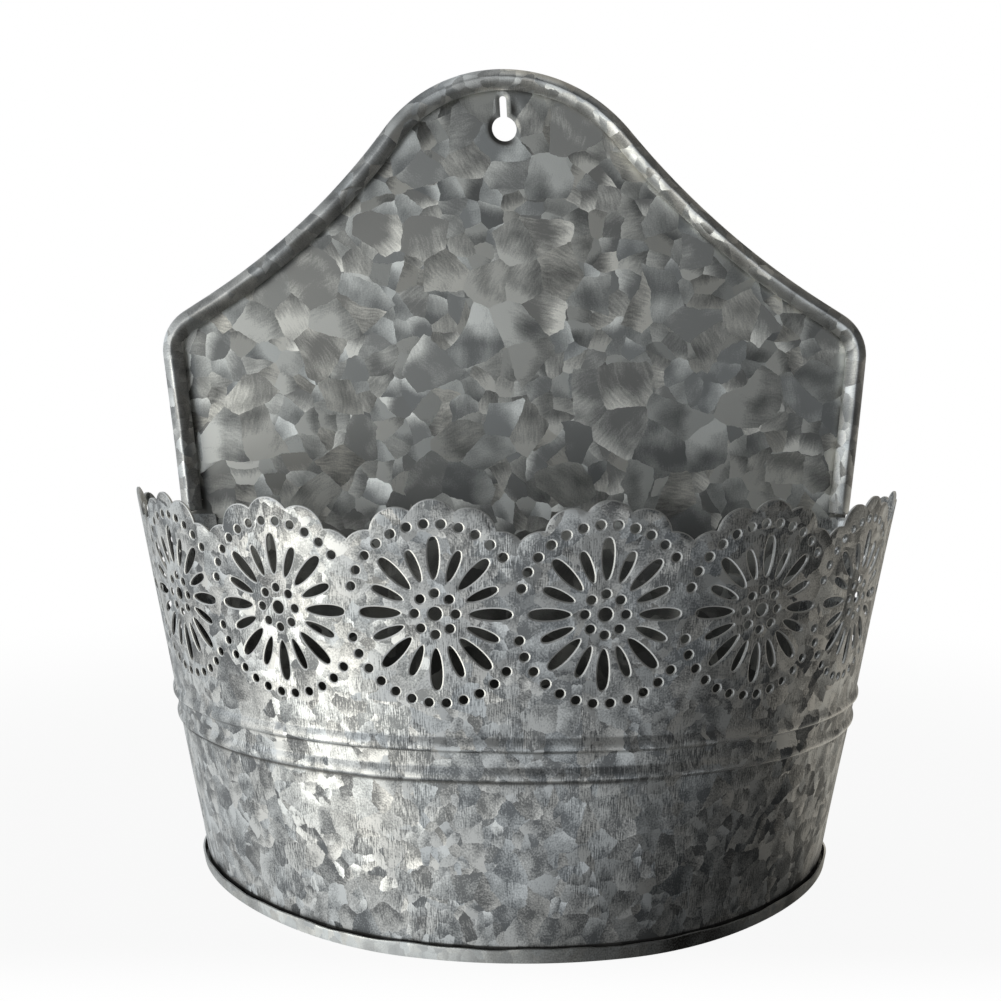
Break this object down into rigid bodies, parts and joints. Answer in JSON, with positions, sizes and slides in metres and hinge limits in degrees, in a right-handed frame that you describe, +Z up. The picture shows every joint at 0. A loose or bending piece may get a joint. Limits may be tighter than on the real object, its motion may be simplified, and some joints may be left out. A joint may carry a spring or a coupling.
{
  "type": "wall planter",
  "caption": "Half-round galvanised steel wall planter with a punched, scalloped border, two beads, a seamed floor pan and a tall bell-topped back panel with a rolled rim and a keyhole.",
  "frame": {"origin": "on the surface the planter stands on, under the middle of its outer box", "axes": "+Z up, +X to the right as seen from the front, +Y towards the wall it hangs on"},
  "size_m": [0.3176, 0.1414, 0.3417],
  "materials": {
    "wall_sheet": "galvanised, spangled",
    "panel_sheet": "galvanised, spangled",
    "wire": "galvanised",
    "pan_sheet": "galvanised, tarnished"
  },
  "bodies": {
    "root": {"front_wall": "wall_sheet", "back_panel": "panel_sheet", "rim_wire": "wire", "floor_pan": "pan_sheet"}
  },
  "joints": []
}
